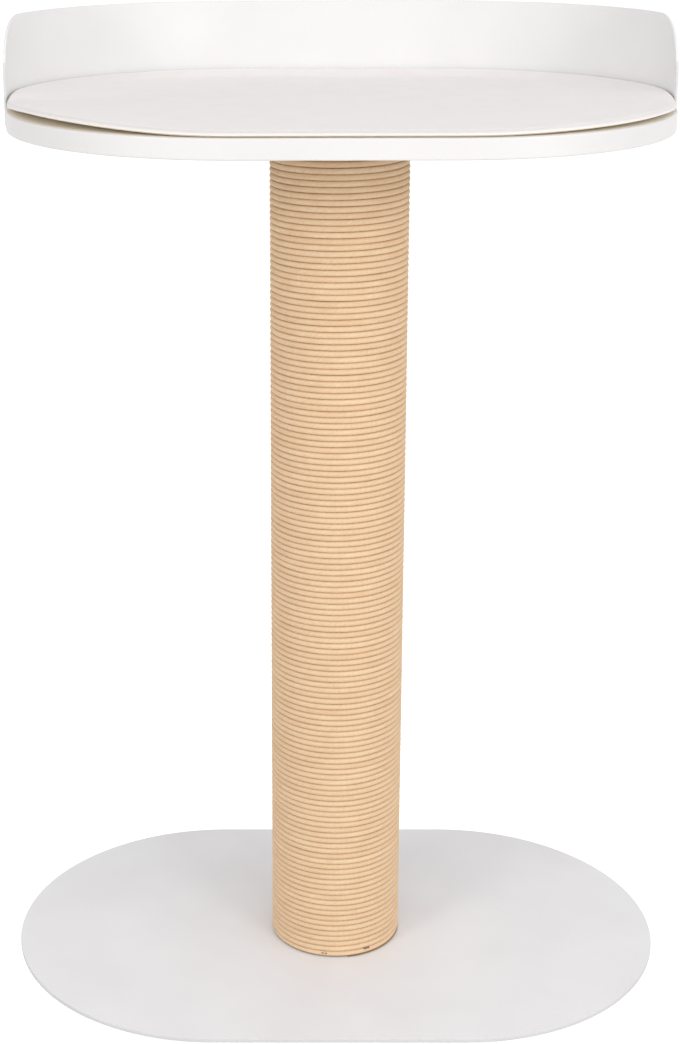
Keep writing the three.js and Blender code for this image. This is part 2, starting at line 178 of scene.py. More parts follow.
floor_mesh = bpy.data.meshes.new("floor")
floor_angles = [2 * math.pi * i / FLOOR_SIDES for i in range(FLOOR_SIDES)]
floor_mesh.from_pydata(
    [(FLOOR_RADIUS * math.cos(a), FLOOR_RADIUS * math.sin(a), 0) for a in floor_angles],
    [],
    [range(FLOOR_SIDES)],
)
floor_mesh.materials.append(sweep)
floor = bpy.data.objects.new("floor", floor_mesh)
bpy.context.scene.collection.objects.link(floor)


# ---- base plate ----
# A 3 mm sheet of steel, laser cut to a stadium, its edges eased and the whole powder coated in a
# pale grey. Four countersinks underneath take the screws that hold the post.

MM = 0.001
OUTLINE_STEPS = 96  # along a half circle of the plate or the board
EASE_STEPS = 4
HOLE_SIDES = 40
HOLE_CLEARANCE = 0.3 * MM
PLATE_EASE = 0.6 * MM
POST_SCREW_COUNT = 4  # at each end of the post
POST_SCREW_CIRCLE = 52 * MM
SCREW_TIP_CHAMFER = 0.7 * MM
COAT_PEEL = 1.1 * MM  # between the crests of the coat's orange peel
COAT_DRIFT = 70 * MM  # between the faint clouds in its colour
EDGE_TILT = 0.95  # upright part of the normal below which a face belongs to a plate's edge; on the base plate those faces get a painted shade
CREASE = math.radians(35)  # turn between two faces above which the edge between them shows

Screw = namedtuple("Screw", "head head_height shank length")
base_screw_low, base_screw_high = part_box("base_screw_1")
BASE_SCREW = Screw(10 * MM, 2.6 * MM, 5 * MM, base_screw_high.z - base_screw_low.z)
plate_low, plate_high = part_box("base_plate")


def stadium(length, depth, inset):
    """An outline with straight long sides and half-round ends, drawn anticlockwise."""
    # forward part of the normal above which a face belongs to the strip's end, which gets a painted
    # shade
    radius = depth / 2 - inset
    centre = (length - depth) / 2
    points = []
    for side, start in ((1, -math.pi / 2), (-1, math.pi / 2)):
        for i in range(OUTLINE_STEPS + 1):
            angle = start + math.pi * i / OUTLINE_STEPS
            points.append((side * centre + radius * math.cos(angle), radius * math.sin(angle)))
    return points


def ease_profile(bottom, top, ease):
    """Pairs of inset and height that go up a plate's side, with both its edges rounded."""
    quarter = [math.pi / 2 * i / EASE_STEPS for i in range(EASE_STEPS + 1)]
    lower = [(ease * (1 - math.sin(a)), bottom + ease * (1 - math.cos(a))) for a in quarter]
    upper = [(inset, top + bottom - height) for inset, height in reversed(lower)]
    return lower + upper


def skin(name, loops, strip_caps=False):
    """A closed mesh through a stack of loops with as many points each. An end is one face, or,
    where the end loop runs out and back along a bent strip, a row of faces across it."""
    count = len(loops[0])
    vertices = [point for loop in loops for point in loop]
    faces = []
    for k in range(len(loops) - 1):
        for i in range(count):
            j = (i + 1) % count
            faces.append((k * count + i, k * count + j, (k + 1) * count + j, (k + 1) * count + i))
    last = (len(loops) - 1) * count
    if strip_caps:
        for i in range(count // 2 - 1):
            far = count - 1 - i
            faces.append((i, far, far - 1, i + 1))
            faces.append((last + i, last + i + 1, last + far - 1, last + far))
    else:
        faces.append(tuple(reversed(range(count))))
        faces.append(tuple(range(last, last + count)))
    mesh = bpy.data.meshes.new(name)
    mesh.from_pydata(vertices, [], faces)
    return mesh


def turned(name, profile, sides):
    """A closed mesh of (radius, height) points turned round the upright axis, from axis to axis."""
    built = bmesh.new()
    rings = []
    for radius, height in profile:
        if radius == 0:
            rings.append([built.verts.new((0, 0, height))])
            continue
        angles = [2 * math.pi * i / sides for i in range(sides)]
        rings.append(
            [built.verts.new((radius * math.cos(a), radius * math.sin(a), height)) for a in angles]
        )
    for lower, upper in zip(rings, rings[1:]):
        for i in range(sides):
            j = (i + 1) % sides
            if len(lower) == 1:
                built.faces.new((lower[0], upper[j], upper[i]))
            elif len(upper) == 1:
                built.faces.new((lower[i], lower[j], upper[0]))
            else:
                built.faces.new((lower[i], lower[j], upper[j], upper[i]))
    bmesh.ops.recalc_face_normals(built, faces=built.faces)
    mesh = bpy.data.meshes.new(name)
    built.to_mesh(mesh)
    built.free()
    return mesh


def add_piece(name, mesh, *materials):
    """Puts a mesh into the scene as an object at the origin."""
    for material in materials:
        mesh.materials.append(material)
    piece = bpy.data.objects.new(name, mesh)
    bpy.context.scene.collection.objects.link(piece)
    return piece


def settle(piece):
    """Turns what a piece's modifiers make into its plain mesh and takes the modifiers off."""
    bpy.context.view_layer.update()
    seen = piece.evaluated_get(bpy.context.evaluated_depsgraph_get())
    mesh = bpy.data.meshes.new_from_object(seen)
    before = piece.data
    piece.modifiers.clear()
    piece.data = mesh
    bpy.data.meshes.remove(before)
    mesh.name = piece.name
    return piece


def drill(piece, hole, places):
    """Cuts a copy of the hole's mesh out of a piece at each of the places."""
    cutter = bmesh.new()
    for place in places:
        fresh = hole.copy()
        fresh.transform(place)
        cutter.from_mesh(fresh)
        bpy.data.meshes.remove(fresh)
    cutter_mesh = bpy.data.meshes.new("cutter")
    cutter.to_mesh(cutter_mesh)
    cutter.free()
    cutter_object = add_piece("cutter", cutter_mesh)
    modifier = piece.modifiers.new("holes", "BOOLEAN")
    modifier.object = cutter_object
    modifier.operation = "DIFFERENCE"
    modifier.solver = "EXACT"
    settle(piece)
    bpy.data.objects.remove(cutter_object)
    bpy.data.meshes.remove(cutter_mesh)


def smooth(piece):
    """Shades a piece smoothly but for its creases, and keeps its flat faces flat."""
    piece.data.shade_smooth()
    piece.data.set_sharp_from_angle(angle=CREASE)
    modifier = piece.modifiers.new("even_normals", "WEIGHTED_NORMAL")
    modifier.keep_sharp = True
    return settle(piece)


def second_finish(piece, chosen):
    """Gives the chosen faces of a piece the second of its two materials."""
    for face in piece.data.polygons:
        if chosen(face):
            face.material_index = 1


def screw_hole(name, size):
    """The space of a countersunk screw and its clearance, its head's top at height 0."""
    shank = size.shank / 2 + HOLE_CLEARANCE
    head = size.head / 2 + HOLE_CLEARANCE
    tip = -size.length - HOLE_CLEARANCE
    profile = [
        (0, tip),
        (shank - SCREW_TIP_CHAMFER, tip),
        (shank, tip + SCREW_TIP_CHAMFER),
        (shank, -size.head_height - HOLE_CLEARANCE),
        (head, -HOLE_CLEARANCE),
        (head, HOLE_CLEARANCE),
        (0, HOLE_CLEARANCE),
    ]
    return turned(name, profile, HOLE_SIDES)


def new_material(name):
    """A material with no nodes, and its tree."""
    material = bpy.data.materials.new(name)
    material.use_nodes = True
    material.node_tree.nodes.clear()
    return material, material.node_tree


def mottle(tree, grain, low=0, high=1, detail=2):
    """Patches of a grain size in metres, as a value between low and high."""
    place = add_node(tree, "ShaderNodeTexCoord").outputs["Object"]
    patches = add_node(
        tree, "ShaderNodeTexNoise", {"Vector": place, "Scale": 1 / grain, "Detail": detail}
    )
    spread = {"From Min": 0.3, "From Max": 0.7, "To Min": low, "To Max": high}
    return add_node(tree, "ShaderNodeMapRange", {"Value": patches.outputs["Fac"], **spread})


Relief = namedtuple("Relief", "grain detail height strength")


def mottled(name, colours, grain, roughness, detail=2, gloss_grain=None, relief=None, metallic=0):
    """A material whose colour drifts between two in patches of a grain size. Where a gloss grain
    is given, the roughness drifts between two values too, and a relief makes the skin uneven."""
    material, tree = new_material(name)
    patches = mottle(tree, grain, detail=detail)
    colour = add_node(
        tree,
        "ShaderNodeMix",
        {"Factor": patches, "A": linear(colours[0]), "B": linear(colours[1])},
        data_type="RGBA",
    )
    if gloss_grain:
        roughness = mottle(tree, gloss_grain, *roughness)
    inputs = {"Base Color": colour, "Metallic": metallic, "Roughness": roughness}
    if relief:
        height = mottle(tree, relief.grain, detail=relief.detail)
        inputs["Normal"] = add_node(
            tree,
            "ShaderNodeBump",
            {"Height": height, "Distance": relief.height, "Strength": relief.strength},
        )
    surface = add_node(tree, "ShaderNodeBsdfPrincipled", inputs)
    add_node(tree, "ShaderNodeOutputMaterial", {"Surface": surface})
    return material


# Polyester powder coat, sprayed and baked: an even colour with a fine orange peel that breaks the
# gloss into a soft sheen. The darker copies of it on the plate's edge faces and the rail's front
# ends are painted shade.
def powder_coat(name, *colours):
    return mottled(
        name,
        colours,
        grain=COAT_DRIFT,
        roughness=(0.46, 0.58),
        gloss_grain=COAT_PEEL,
        relief=Relief(grain=COAT_PEEL, detail=3, height=0.03 * MM, strength=0.6),
    )


plate_length = plate_high.x - plate_low.x
plate_depth = plate_high.y - plate_low.y
plate_loops = [
    [(x, y, height) for x, y in stadium(plate_length, plate_depth, inset)]
    for inset, height in ease_profile(plate_low.z, plate_high.z, PLATE_EASE)
]
post_screw_points = []
for i in range(POST_SCREW_COUNT):
    screw_angle = 2 * math.pi * (i + 0.5) / POST_SCREW_COUNT
    screw_turn = Matrix.Rotation(screw_angle, 3, "Z")
    post_screw_points.append(screw_turn @ Vector((POST_SCREW_CIRCLE / 2, 0, 0)))
base_screw_places = [
    Matrix.Translation((point.x, point.y, plate_low.z)) @ Matrix.Rotation(math.pi, 4, "X")
    for point in post_screw_points
]
base_screw_hole = screw_hole("base_screw_hole", BASE_SCREW)
base_plate = add_piece(
    "base_plate_coated",
    skin("base_plate_coated", plate_loops),
    powder_coat("grey_powder_coated_steel", "#e7e6e9", "#ebebed"),
    # The second, darker copy is painted shade for the plate's edge faces, which face sideways.
    powder_coat("grey_coat_on_cut_edge", "#d2d1d3", "#d6d5d7"),
)
drill(base_plate, base_screw_hole, base_screw_places)
bpy.data.meshes.remove(base_screw_hole)
smooth(base_plate)
# The edge faces get the darker copy: painted shade.
second_finish(base_plate, lambda face: abs(face.normal.z) < EDGE_TILT)
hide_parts("base_plate")
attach(base_plate, "stand")


# ---- feet ----
# Six round pads punched from black closed-cell foam sheet, with an adhesive back that holds them
# under the plate. Their lower rims are pressed round.

FOOT_COUNT = 6
FOOT_SIDES = 56
FOOT_ROUND = 0.6 * MM
FOAM_PIT = 0.5 * MM  # across one pit of the sliced foam

foot_names = [f"foot_{i + 1}" for i in range(FOOT_COUNT)]
foot_low, foot_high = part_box(foot_names[0])


def copies_tree():
    """Sets one piece at each point of the incoming mesh, turned as its "turn" attribute says."""
    tree = bpy.data.node_groups.new("copies_at_places", "GeometryNodeTree")
    tree.interface.new_socket("Places", in_out="INPUT", socket_type="NodeSocketGeometry")
    tree.interface.new_socket("Pattern", in_out="INPUT", socket_type="NodeSocketObject")
    tree.interface.new_socket("Material", in_out="INPUT", socket_type="NodeSocketMaterial")
    tree.interface.new_socket("Copies", in_out="OUTPUT", socket_type="NodeSocketGeometry")
    given = add_node(tree, "NodeGroupInput").outputs
    piece = add_node(tree, "GeometryNodeObjectInfo", {"Object": given["Pattern"]})
    turn = add_node(
        tree, "GeometryNodeInputNamedAttribute", {"Name": "turn"}, data_type="FLOAT_VECTOR"
    )
    rotation = add_node(tree, "FunctionNodeEulerToRotation", {"Euler": turn})
    copies = add_node(
        tree,
        "GeometryNodeInstanceOnPoints",
        {"Points": given["Places"], "Instance": piece.outputs["Geometry"], "Rotation": rotation},
    )
    real = add_node(tree, "GeometryNodeRealizeInstances", {"Geometry": copies})
    finished = add_node(
        tree, "GeometryNodeSetMaterial", {"Geometry": real, "Material": given["Material"]}
    )
    add_node(tree, "NodeGroupOutput", {"Copies": finished})
    return tree


copies_at_places = copies_tree()


def run_tree(piece, tree, **values):
    """Runs a geometry tree on a piece with inputs given by name, and keeps the plain result."""
    modifier = piece.modifiers.new(tree.name, "NODES")
    modifier.node_group = tree
    for item in tree.interface.items_tree:
        key = item.name.lower().replace(" ", "_")
        if item.in_out == "INPUT" and key in values:
            modifier[item.identifier] = values[key]
    return settle(piece)


def copies(name, mesh, places, material):
    """One piece made of a copy of the mesh at each place."""
    pattern = add_piece(name + "_pattern", mesh)
    points = bpy.data.meshes.new(name)
    points.from_pydata([place.translation for place in places], [], [])
    turns = points.attributes.new("turn", "FLOAT_VECTOR", "POINT")
    for turn, place in zip(turns.data, places):
        turn.vector = place.to_euler()
    piece = add_piece(name, points)
    run_tree(piece, copies_at_places, pattern=pattern, material=material)
    bpy.data.objects.remove(pattern)
    bpy.data.meshes.remove(mesh)
    return smooth(piece)


# Closed-cell foam: matt near-black with the fine pitted skin of sliced foam.
pad_foam = mottled(
    "black_pad_foam",
    colours=("#323234", "#424245"),
    grain=FOAM_PIT,
    detail=3,
    roughness=0.9,
    relief=Relief(grain=FOAM_PIT, detail=3, height=0.12 * MM, strength=0.7),
)

foot_radius = (foot_high.x - foot_low.x) / 2
foot_height = foot_high.z - foot_low.z
pressed_rim = ease_profile(0, foot_height, FOOT_ROUND)[: EASE_STEPS + 1]
foot_profile = [(0, 0)]
foot_profile += [(foot_radius - inset, height) for inset, height in pressed_rim]
foot_profile += [(foot_radius, foot_height), (0, foot_height)]
foot_places = []
for foot_name in foot_names:
    low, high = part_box(foot_name)
    foot_places.append(Matrix.Translation(((low.x + high.x) / 2, (low.y + high.y) / 2, low.z)))
feet = copies("foam_feet", turned("foot", foot_profile, FOOT_SIDES), foot_places, pad_foam)
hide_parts(*foot_names)
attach(feet, "stand")


# ---- base screws ----
# Four countersunk steel screws with hexagon sockets, bright zinc plated, driven up through the
# plate into the post's lower plug.

SCREW_SIDES = 40
SOCKET_ACROSS = 3 * MM
SOCKET_DEPTH = 1.8 * MM
HEAD_EASE = 0.25 * MM
THREAD_PITCH = 1.0 * MM
THREAD_DEPTH = 0.4 * MM
THREAD_SINK = 0.1 * MM  # of the ridge's foot in the shank
THREAD_FADED = 0.01 * MM  # what is left of the ridge at its two ends
THREAD_STEPS = 16  # along one turn


def screw_mesh(name, size, recess):
    """A countersunk screw with its head's top at height 0, a recess in it and a thread."""
    crest = size.shank / 2
    root = crest - THREAD_DEPTH
    thread_bottom = -size.length + SCREW_TIP_CHAMFER
    thread_top = -size.head_height - THREAD_PITCH
    profile = [
        (0, -size.length),
        (root - SCREW_TIP_CHAMFER, -size.length),
        (root, thread_bottom),
        (root, thread_top),
        (crest, thread_top + THREAD_DEPTH),
        (crest, -size.head_height),
        (size.head / 2, -HEAD_EASE),
        (size.head / 2 - HEAD_EASE, 0),
        (0, 0),
    ]
    blank = add_piece(name, turned(name, profile, SCREW_SIDES))
    drill(blank, recess, [Matrix.Identity(4)])
    bpy.data.meshes.remove(recess)
    mesh = blank.data
    bpy.data.objects.remove(blank)
    thread = thread_ridge(root - THREAD_SINK, crest, thread_bottom, thread_top)
    joined = bmesh.new()
    joined.from_mesh(mesh)
    joined.from_mesh(thread)
    bmesh.ops.recalc_face_normals(joined, faces=joined.faces)
    joined.to_mesh(mesh)
    joined.free()
    bpy.data.meshes.remove(thread)
    return mesh


def thread_ridge(foot, crest, bottom, top):
    """One closed helical ridge that fades in and out over its first and last turn."""
    steps = int(THREAD_STEPS * (top - bottom) / THREAD_PITCH)
    loops = []
    for i in range(steps + 1):
        fade = min(1, i / THREAD_STEPS, (steps - i) / THREAD_STEPS)
        ridge = foot + max(THREAD_FADED, (crest - foot) * fade)
        height = bottom + THREAD_PITCH * i / THREAD_STEPS
        turn = Matrix.Rotation(2 * math.pi * i / THREAD_STEPS, 3, "Z")
        section = (
            (foot, height - THREAD_DEPTH),
            (ridge, height),
            (foot, height + THREAD_DEPTH),
        )
        loops.append([turn @ Vector((radius, 0, level)) for radius, level in section])
    return skin("thread", loops)


def hexagon_recess():
    """The space of a hexagon key, from above the head down to the socket's floor."""
    radius = SOCKET_ACROSS / math.sqrt(3)
    profile = [
        (0, -SOCKET_DEPTH),
        (radius, -SOCKET_DEPTH),
        (radius, SOCKET_DEPTH),
        (0, SOCKET_DEPTH),
    ]
    return turned("recess", profile, 6)


# Bright zinc plating on steel: a cool grey metal with soft, slightly broken reflections.
zinc = mottled(
    "zinc_plated_steel",
    colours=("#b4b7bb", "#c6c9cc"),
    grain=1.5 * MM,
    roughness=(0.28, 0.42),
    gloss_grain=0.6 * MM,
    metallic=1,
)

base_screw = screw_mesh("base_screw", BASE_SCREW, hexagon_recess())
base_screws = copies("base_screws", base_screw, base_screw_places, zinc)
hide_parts(*[f"base_screw_{i + 1}" for i in range(POST_SCREW_COUNT)])
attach(base_screws, "stand")


# ---- post core ----
# A spirally wound board tube closed by two turned beech plugs, with four brass threaded inserts
# in each for the screws. All of it is hidden by the cord, the plate and the board.

KRAFT_BAND = 90 * MM  # between the seams of the tube's outer ply
KRAFT_SLANT = math.radians(30)
KRAFT_FIBRE = 1.8 * MM
BEECH_RING = 3.5 * MM
BEECH_FLECK = 2 * MM
WAVE_PERIOD = 2 * math.pi / 20  # of a wave texture whose scale is 1


def dress(node_name, material):
    """Gives a node of the frame its finish."""
    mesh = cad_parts[node_name].data
    mesh.materials.clear()
    mesh.materials.append(material)


# Kraft board: brown matt paper with long fibres and the slanting seams of the wound plies.
def kraft_board():
    material, tree = new_material("kraft_board")
    place = add_node(tree, "ShaderNodeTexCoord").outputs["Object"]
    slant = add_node(
        tree, "ShaderNodeMapping", {"Vector": place, "Rotation": (0, KRAFT_SLANT, 0)}
    )
    bands = add_node(
        tree,
        "ShaderNodeTexWave",
        {"Vector": slant, "Scale": WAVE_PERIOD / KRAFT_BAND, "Distortion": 0.4},
        bands_direction="Z",
    )
    seams = add_node(
        tree,
        "ShaderNodeMapRange",
        {"Value": bands.outputs["Fac"], "From Min": 0.94, "From Max": 1, "To Max": 0.5},
    )
    fibres = mottle(tree, KRAFT_FIBRE, detail=5)
    paper = add_node(
        tree,
        "ShaderNodeMix",
        {"Factor": fibres, "A": linear("#9c7d58"), "B": linear("#b3946b")},
        data_type="RGBA",
    )
    colour = add_node(
        tree,
        "ShaderNodeMix",
        {"Factor": seams, "A": paper, "B": linear("#7d6242")},
        data_type="RGBA",
    )
    relief = add_node(
        tree, "ShaderNodeBump", {"Height": fibres, "Distance": 0.1 * MM, "Strength": 0.5}
    )
    surface = add_node(
        tree,
        "ShaderNodeBsdfPrincipled",
        {"Base Color": colour, "Roughness": 0.92, "Normal": relief},
    )
    add_node(tree, "ShaderNodeOutputMaterial", {"Surface": surface})
    return material


# Beech: pale pinkish brown, close rings and short darker flecks.
def beech():
    material, tree = new_material("turned_beech")
    place = add_node(tree, "ShaderNodeTexCoord").outputs["Object"]
    rings = add_node(
        tree,
        "ShaderNodeTexWave",
        {"Vector": place, "Scale": WAVE_PERIOD / BEECH_RING, "Distortion": 6, "Detail": 2},
        bands_direction="X",
    )
    wood = add_node(
        tree,
        "ShaderNodeMix",
        {"Factor": rings.outputs["Fac"], "A": linear("#c39d70"), "B": linear("#d6b48a")},
        data_type="RGBA",
    )
    flecks = mottle(tree, BEECH_FLECK, high=0.5, detail=4)
    colour = add_node(
        tree,
        "ShaderNodeMix",
        {"Factor": flecks, "A": wood, "B": linear("#b48a5c")},
        data_type="RGBA",
    )
    surface = add_node(tree, "ShaderNodeBsdfPrincipled", {"Base Color": colour, "Roughness": 0.65})
    add_node(tree, "ShaderNodeOutputMaterial", {"Surface": surface})
    return material


# Turned brass: warm yellow metal with fine tool marks.
insert_brass = mottled(
    "turned_brass",
    colours=("#c2a055", "#d3b36a"),
    grain=1.2 * MM,
    roughness=(0.3, 0.45),
    gloss_grain=0.4 * MM,
    metallic=1,
)

dress("post_tube", kraft_board())
plug_wood = beech()
for end in ("bottom_plug", "top_plug"):
    dress(end, plug_wood)
for set_name in ("base_insert", "tray_insert"):
    for i in range(POST_SCREW_COUNT):
        dress(f"{set_name}_{i + 1}", insert_brass)


# ---- cord winding ----
# One twisted paper cord, about 4.4 mm thick, glued on the tube in touching turns by a winding
# machine and then cut off level with the tube, so that its first and last turns taper away.

CORD_DIAMETER = 4.4 * MM
CORD_PITCH = 4.44 * MM
CORD_STEPS = 60  # along one turn
CORD_SIDES = 10
CORD_START = math.radians(-80)  # where the first turn tapers out, from +X
CORD_CUT = 0.05  # share of its thickness at which the tapering cord ends
CORD_SWAY = 0.30 * MM  # how unevenly it is laid, in and out
CORD_SWAY_PERIOD = 35 * MM
CORD_LIFT = 0.34 * MM  # and up and down
CORD_LIFT_PERIOD = 90 * MM
CORD_LAY = 15 * MM  # length in which the cord's twist turns once
CORD_PLIES = 4
FIBRE_WIDTH = 0.55 * MM  # the real fibres are finer, and wouldn't show
FIBRE_LENGTH = 5 * MM
PAPER_BLOTCH = 28 * MM  # along the cord
PAPER_DRIFT = 420 * MM
GROOVE_SHADE_FROM = 30 / 360  # share of the way round the section, from its crest to where the painted groove shade starts
GROOVE_SHADE_FULL = 80 / 360
GROOVE_SHADE_SHARE = 0.1  # how dark the painted shade makes the grooves
FOOT_SHADE_SHARE = 0.85  # and the painted shade on the line against the plate
FOOT_SHADE_HEIGHT = 2.0 * MM

cord_low, cord_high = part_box("cord_winding")
crest_radius = (cord_high.x - cord_low.x) / 2
cord_radius = CORD_DIAMETER / 2
path_overrun = cord_radius - CORD_CUT * CORD_DIAMETER
path_bottom = cord_low.z - path_overrun
path_top = cord_high.z + path_overrun


def wander(tree, along, size, period):
    """How far the cord strays from its even path, by up to half the size to either side."""
    wave = add_node(
        tree,
        "ShaderNodeTexNoise",
        {"W": along, "Scale": 1 / period, "Detail": 1},
        noise_dimensions="1D",
    )
    spread = {"To Min": -size / 2, "To Max": size / 2}
    return add_node(tree, "ShaderNodeMapRange", {"Value": wave.outputs["Fac"], **spread})


def winding_tree():
    """A helix of cord on an upright post, with its two end turns pressed level."""
    tree = bpy.data.node_groups.new("paper_cord_winding", "GeometryNodeTree")
    tree.interface.new_socket("Winding", in_out="OUTPUT", socket_type="NodeSocketGeometry")
    tree.interface.new_socket("Geometry", in_out="INPUT", socket_type="NodeSocketGeometry")
    sizes = ("Path Radius", "Path Bottom", "Path Top", "Pitch", "Start Angle", "Cord Radius")
    for name in sizes + ("Bottom", "Top"):
        tree.interface.new_socket(name, in_out="INPUT", socket_type="NodeSocketFloat")
    for name in ("Path Points", "Sides"):
        tree.interface.new_socket(name, in_out="INPUT", socket_type="NodeSocketInt")
    tree.interface.new_socket("Material", in_out="INPUT", socket_type="NodeSocketMaterial")
    given = add_node(tree, "NodeGroupInput").outputs

    # The path starts as an upright line, whose points then move out on the helix.
    line = add_node(
        tree,
        "GeometryNodeCurvePrimitiveLine",
        {
            "Start": add_node(tree, "ShaderNodeCombineXYZ", {"Z": given["Path Bottom"]}),
            "End": add_node(tree, "ShaderNodeCombineXYZ", {"Z": given["Path Top"]}),
        },
    )
    points = add_node(
        tree,
        "GeometryNodeResampleCurve",
        {"Curve": line, "Count": given["Path Points"]},
        mode="COUNT",
    )
    place = add_node(tree, "GeometryNodeInputPosition")
    height = add_node(tree, "ShaderNodeSeparateXYZ", {"Vector": place}).outputs["Z"]
    climb = add_node(
        tree, "ShaderNodeMath", {0: height, 1: given["Path Bottom"]}, operation="SUBTRACT"
    )
    turns = add_node(tree, "ShaderNodeMath", {0: climb, 1: given["Pitch"]}, operation="DIVIDE")
    turned_by = add_node(tree, "ShaderNodeMath", {0: turns, 1: 2 * math.pi}, operation="MULTIPLY")
    angle = add_node(
        tree, "ShaderNodeMath", {0: turned_by, 1: given["Start Angle"]}, operation="ADD"
    )
    along = add_node(
        tree, "ShaderNodeMath", {0: turned_by, 1: given["Path Radius"]}, operation="MULTIPLY"
    )
    with_height = add_node(
        tree,
        "GeometryNodeStoreNamedAttribute",
        {"Geometry": points, "Name": "centre_height", "Value": height},
    )
    with_along = add_node(
        tree,
        "GeometryNodeStoreNamedAttribute",
        {"Geometry": with_height, "Name": "along", "Value": along},
    )

    # A machine doesn't lay a paper cord quite evenly: it wanders by a tenth of a millimetre.
    sway = wander(tree, along, CORD_SWAY, CORD_SWAY_PERIOD)
    lift = wander(tree, along, CORD_LIFT, CORD_LIFT_PERIOD)
    out = add_node(tree, "ShaderNodeMath", {0: given["Path Radius"], 1: sway}, operation="ADD")
    up = add_node(tree, "ShaderNodeMath", {0: height, 1: lift}, operation="ADD")
    on_helix = add_node(
        tree,
        "ShaderNodeVectorRotate",
        {"Vector": add_node(tree, "ShaderNodeCombineXYZ", {"X": out, "Z": up}), "Angle": angle},
        rotation_type="Z_AXIS",
    )
    helix = add_node(
        tree, "GeometryNodeSetPosition", {"Geometry": with_along, "Position": on_helix}
    )
    upright = add_node(tree, "GeometryNodeSetCurveNormal", {"Curve": helix}, mode="Z_UP")

    # The section: a round that starts on its inner side, with the place round it stored.
    circle = add_node(
        tree,
        "GeometryNodeCurvePrimitiveCircle",
        {"Resolution": given["Sides"], "Radius": given["Cord Radius"]},
        mode="RADIUS",
    )
    section = add_node(
        tree, "GeometryNodeTransform", {"Geometry": circle, "Rotation": (0, 0, math.pi)}
    )
    index = add_node(tree, "GeometryNodeInputIndex")
    around = add_node(tree, "ShaderNodeMath", {0: index, 1: given["Sides"]}, operation="DIVIDE")
    marked = add_node(
        tree,
        "GeometryNodeStoreNamedAttribute",
        {"Geometry": section, "Name": "around", "Value": around},
    )
    swept = add_node(
        tree,
        "GeometryNodeCurveToMesh",
        {"Curve": upright, "Profile Curve": marked, "Fill Caps": True},
    )

    # Where the first turn would go below the bottom, its section is flattened up against the
    # turn above, and the last turn's is flattened down against the turn below.
    centre = add_node(tree, "GeometryNodeInputNamedAttribute", {"Name": "centre_height"})
    root = add_node(
        tree, "ShaderNodeMath", {0: centre, 1: given["Cord Radius"]}, operation="SUBTRACT"
    )
    crest = add_node(tree, "ShaderNodeMath", {0: centre, 1: given["Cord Radius"]}, operation="ADD")
    lowest = add_node(tree, "ShaderNodeMath", {0: root, 1: given["Bottom"]}, operation="MAXIMUM")
    highest = add_node(tree, "ShaderNodeMath", {0: crest, 1: given["Top"]}, operation="MINIMUM")
    here = add_node(
        tree, "ShaderNodeSeparateXYZ", {"Vector": add_node(tree, "GeometryNodeInputPosition")}
    )
    level = add_node(
        tree,
        "ShaderNodeMapRange",
        {
            "Value": here.outputs["Z"],
            "From Min": root,
            "From Max": crest,
            "To Min": lowest,
            "To Max": highest,
        },
        clamp=False,
    )
    inside = add_node(
        tree,
        "ShaderNodeClamp",
        {"Value": level, "Min": given["Bottom"], "Max": given["Top"]},
    )
    final_place = add_node(
        tree,
        "ShaderNodeCombineXYZ",
        {"X": here.outputs["X"], "Y": here.outputs["Y"], "Z": inside},
    )
    trimmed = add_node(
        tree, "GeometryNodeSetPosition", {"Geometry": swept, "Position": final_place}
    )
    bare = add_node(
        tree, "GeometryNodeRemoveAttribute", {"Geometry": trimmed, "Name": "centre_height"}
    )
    rounded = add_node(tree, "GeometryNodeSetShadeSmooth", {"Geometry": bare})
    real = add_node(tree, "GeometryNodeRealizeInstances", {"Geometry": rounded})
    finished = add_node(
        tree, "GeometryNodeSetMaterial", {"Geometry": real, "Material": given["Material"]}
    )
    add_node(tree, "NodeGroupOutput", {"Winding": finished})
    return tree
